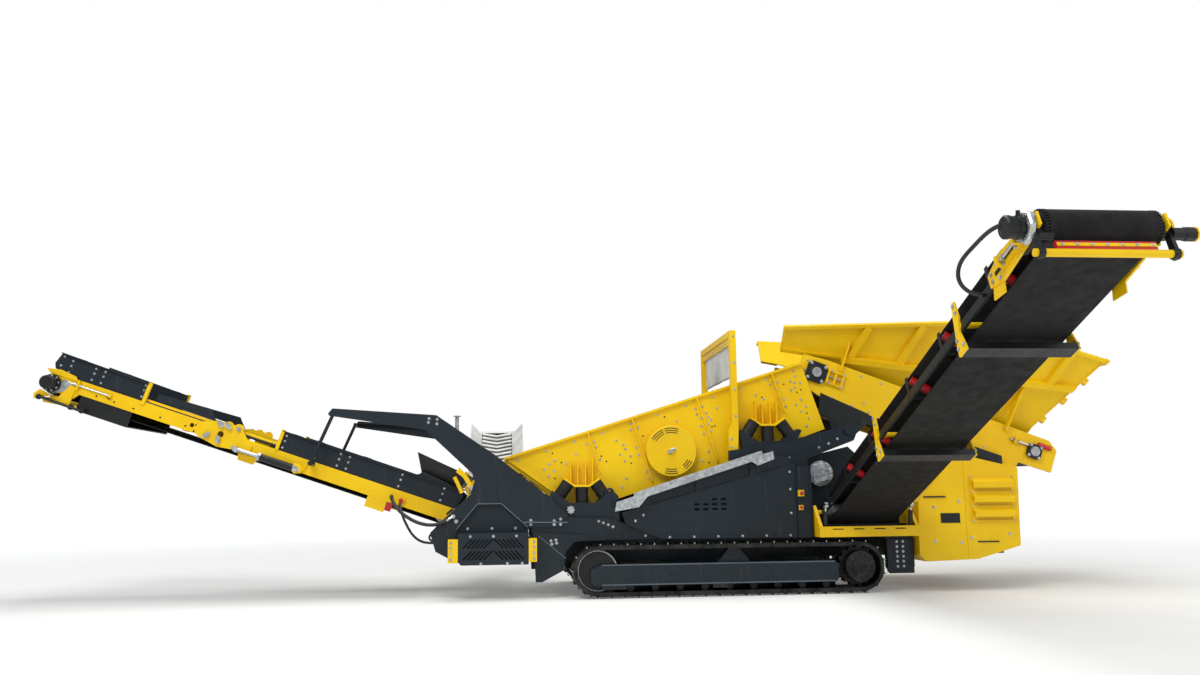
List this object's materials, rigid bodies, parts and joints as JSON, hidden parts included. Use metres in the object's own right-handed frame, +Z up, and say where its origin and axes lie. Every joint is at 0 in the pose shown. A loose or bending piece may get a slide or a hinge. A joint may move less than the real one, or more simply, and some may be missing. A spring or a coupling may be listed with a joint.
{
  "type": "tracked vibrating screen plant",
  "caption": "Tracked screening plant: inclined vibrating screen box on rubber springs, belt feeder with hopper, tail, side and cross conveyors on a crawler chassis.",
  "frame": {"origin": "middle of the box on the ground", "axes": "+X along the machine from the tail conveyor to the hopper, +Z up, -Y to the side the side conveyor leaves on"},
  "size_m": [13.7447, 10.1844, 3.5005],
  "materials": {
    "yellow": "gloss enamel",
    "anthracite": "satin enamel",
    "rubber_black": "matt",
    "galvanised": "galvanised",
    "steel": "machined",
    "red": "satin enamel",
    "grey": "matt",
    "track_steel": "worn",
    "dark_metal": "satin enamel"
  },
  "bodies": {
    "plant": {"track_chain_near": "track_steel", "track_chain_far": "track_steel", "track_frames": "anthracite", "track_wheels": "steel", "track_rollers": "steel", "main_frame": "anthracite", "main_rails": "anthracite", "front_wedges": "anthracite", "side_panels": "anthracite", "rear_plates": "anthracite", "slope_beams": "anthracite", "spring_seats": "anthracite", "gantry_near": "anthracite", "gantry_far": "anthracite", "tie_rods": "anthracite", "tail_beams_inner": "yellow", "tail_beams_outer": "yellow", "tail_fold_plates": "yellow", "tail_skirts": "dark_metal", "tail_belt": "rubber_black", "tail_drums": "steel", "tail_motors": "dark_metal", "fold_cylinders": "steel", "tail_guards": "dark_metal", "tail_scraper": "dark_metal", "cross_frame": "yellow", "cross_belt": "grey", "cross_drums": "steel", "cross_guard": "anthracite", "cross_brackets": "yellow", "springs_lower": "rubber_black", "springs_upper": "rubber_black", "portal_frame": "yellow", "portal_curtain": "grey", "walkways": "galvanised", "feeder_sides": "yellow", "feeder_belt": "rubber_black", "feeder_drums": "steel", "hopper_near": "yellow", "hopper_far": "yellow", "hopper_rear": "yellow", "engine_housing_near": "yellow", "engine_housing_far": "yellow", "engine_louvres": "yellow", "side_tail_frame": "yellow", "hoses": "rubber_black"},
    "screen_box": {"screen_side_near": "yellow", "screen_side_far": "yellow", "screen_decks": "steel", "screen_beams": "yellow", "vibrator_covers": "yellow"},
    "side_conveyor": {"side_frame": "anthracite", "side_belt": "rubber_black", "side_drums": "steel", "side_idlers": "red", "side_guards": "dark_metal", "side_head": "yellow", "head_hose": "rubber_black"},
    "lift_barrels": {"lift_barrels": "dark_metal"},
    "lift_rods": {"lift_rods": "steel"}
  },
  "joints": [
    {"name": "screen_throw", "type": "slide", "parent": "plant", "child": "screen_box", "axis": [0, 0, 1], "range_m": [-0.005, 0.005], "stiffness_N_per_m": 6000000, "springref_m": 0.008, "deforming": ["springs_lower", "springs_upper"]},
    {"name": "side_conveyor_raise", "type": "hinge", "parent": "plant", "child": "side_conveyor", "pos_m": [3.45744, 0.68988, 1], "axis": [-1, 0, 0], "range_deg": [0, 35]},
    {"name": "lift_swing", "type": "hinge", "parent": "plant", "child": "lift_barrels", "pos_m": [3.45744, 0.41813, 0.77583], "axis": [-1, 0, 0], "range_deg": [0, 18]},
    {"name": "lift_stroke", "type": "slide", "parent": "lift_barrels", "child": "lift_rods", "axis": [0, -0.2082, 0.9781], "range_m": [0, 0.17587]}
  ],
  "couplings": [
    {"joint": "lift_swing", "follows": "side_conveyor_raise", "ratio": 0.5},
    {"joint": "lift_stroke", "follows": "side_conveyor_raise", "m_per_rad": 0.28299}
  ]
}
